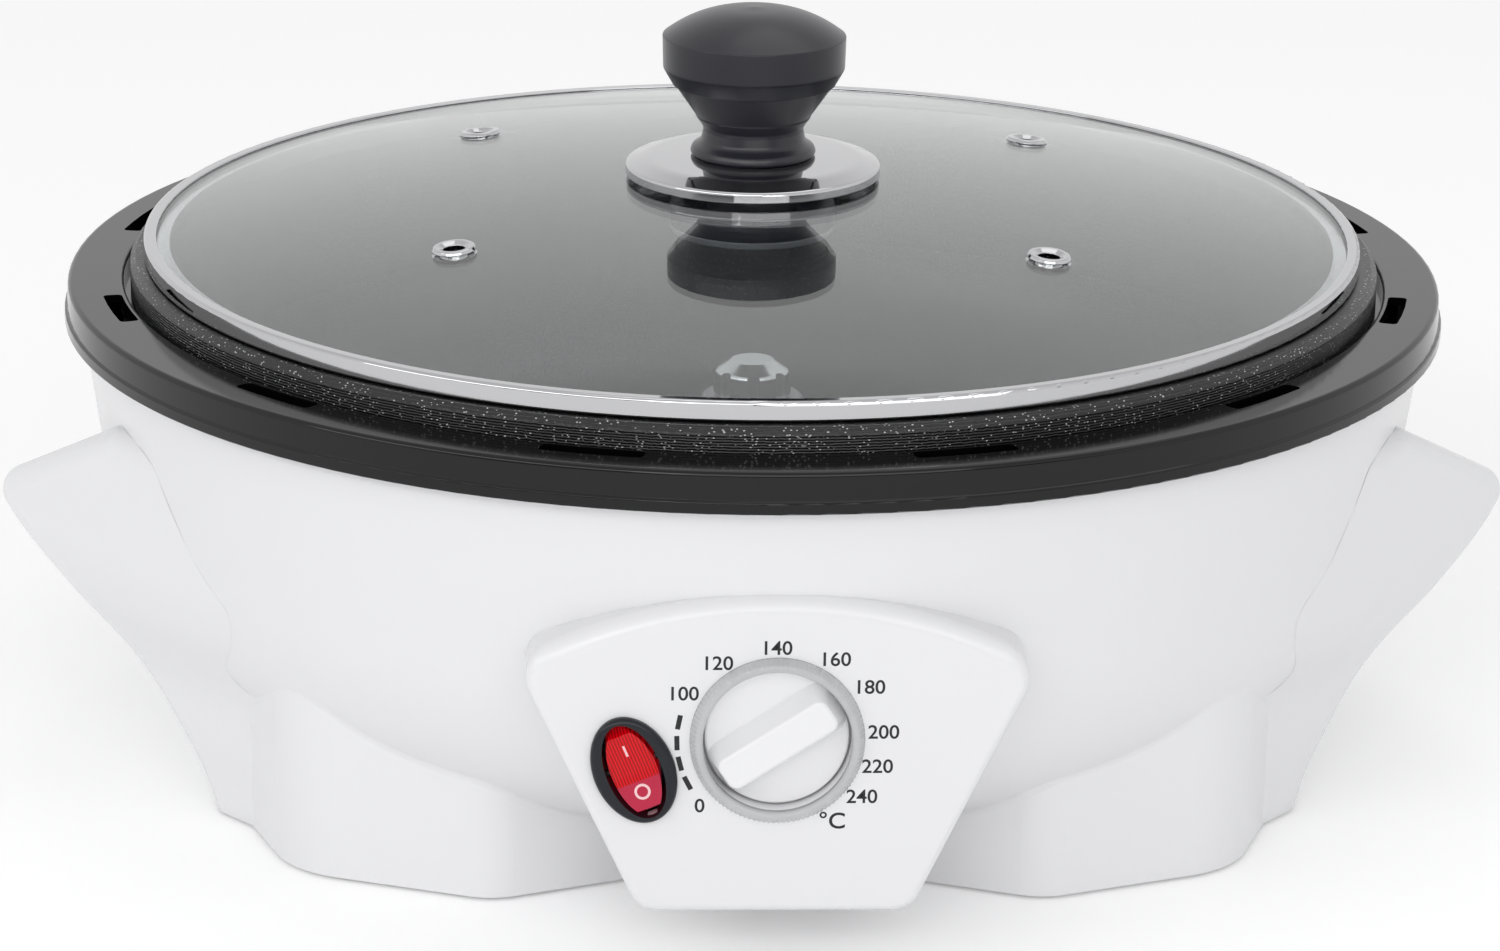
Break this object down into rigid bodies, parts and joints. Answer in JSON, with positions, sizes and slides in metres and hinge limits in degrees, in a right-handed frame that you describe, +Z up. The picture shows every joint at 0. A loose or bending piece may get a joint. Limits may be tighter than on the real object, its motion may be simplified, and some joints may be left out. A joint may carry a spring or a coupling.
{
  "type": "coffee bean roaster",
  "caption": "Round table-top coffee bean roaster: white flared housing, dark roasting pan with a turning stirrer, lift-off domed glass lid, temperature dial and rocker switch.",
  "frame": {"origin": "on the table, under the pan's axis, at the centre of the part's bounding box", "axes": "+X to the right seen from the front, along the side grips; +Y to the back, the control panel faces -Y; +Z up"},
  "size_m": [0.3572, 0.33, 0.1775],
  "materials": {
    "shell_white": "gloss, moulded polypropylene",
    "ring_black": "high gloss, moulded",
    "pan_coated": "matt non-stick coating on cast aluminium",
    "bush_bronze": "sintered bronze",
    "heater_steel": "heat-tinted tube",
    "spring_steel": "sheet, satin",
    "shield_aluminium": "aluminised sheet",
    "plated_steel": "zinc plated",
    "motor_steel": "pressed can, satin",
    "fuse_ceramic": "glazed ceramic body with wire leads",
    "bulb_copper": "bright copper",
    "shaft_steel": "ground",
    "stirrer_cast": "cast, satin",
    "blade_stainless": "spring stainless, satin",
    "nut_aluminium": "turned, satin",
    "lid_glass": "clear toughened",
    "band_stainless": "bright polished stainless",
    "knob_black": "satin phenolic",
    "cap_black": "satin phenolic",
    "washer_grey": "silicone, matt",
    "spacer_aluminium": "turned, satin",
    "bezel_grey": "smoky clear, gloss",
    "dial_white": "gloss",
    "bakelite_brown": "moulded phenolic, satin",
    "switch_black": "gloss",
    "rocker_red": "translucent red, gloss",
    "rubber_dark": "matt",
    "terminal_cream": "moulded polyamide, satin"
  },
  "bodies": {
    "base": {"base_shell": "shell_white", "side_grip_right": "shell_white", "side_grip_left": "shell_white", "top_ring": "ring_black", "roasting_pan": "pan_coated", "shaft_bush": "bush_bronze", "heating_element": "heater_steel", "element_clips": "spring_steel", "heat_shield": "shield_aluminium", "motor_bracket": "plated_steel", "gear_motor": "motor_steel", "motor_screws": "plated_steel", "shield_screws": "plated_steel", "thermal_fuse": "fuse_ceramic", "fuse_clip": "spring_steel", "sensing_bulb": "bulb_copper", "control_panel": "shell_white", "panel_screws": "plated_steel", "dial_bezel": "bezel_grey", "thermostat": "bakelite_brown", "switch_housing": "switch_black", "bottom_plate": "plated_steel", "rubber_feet": "rubber_dark", "bottom_screws": "plated_steel", "ring_screws": "plated_steel", "grip_screws": "plated_steel", "cord_gland": "rubber_dark", "terminal_block": "terminal_cream"},
    "stirrer": {"drive_shaft": "shaft_steel", "stirrer_hub": "stirrer_cast", "stirring_arms": "stirrer_cast", "scraper_blades": "blade_stainless", "blade_rivets": "blade_stainless", "hub_nut": "nut_aluminium"},
    "lid": {"lid_glass": "lid_glass", "lid_band": "band_stainless", "vent_grommets": "band_stainless", "knob_disc": "band_stainless", "disc_spacer": "spacer_aluminium", "lid_knob": "knob_black", "lower_cap": "cap_black", "cap_washer": "washer_grey", "lid_screw": "plated_steel"},
    "dial": {"temperature_knob": "dial_white", "thermostat_shaft": "shaft_steel"},
    "rocker": {"switch_rocker": "rocker_red"}
  },
  "joints": [
    {"name": "stirrer_spin", "type": "hinge", "parent": "base", "child": "stirrer", "pos_m": [0, 0, 0.05], "axis": [0, 0, 1], "continuous": true},
    {"name": "lid_lift", "type": "slide", "parent": "base", "child": "lid", "axis": [0, 0, 1], "range_m": [0, 0.12]},
    {"name": "dial_turn", "type": "hinge", "parent": "base", "child": "dial", "pos_m": [0, -0.161, 0.0529], "axis": [0, -1, 0], "range_deg": [-68.8, 188.5]},
    {"name": "rocker_tilt", "type": "hinge", "parent": "base", "child": "rocker", "pos_m": [-0.0308, -0.1575, 0.0463], "axis": [0.9272, 0, 0.3746], "range_deg": [0, 16]}
  ]
}
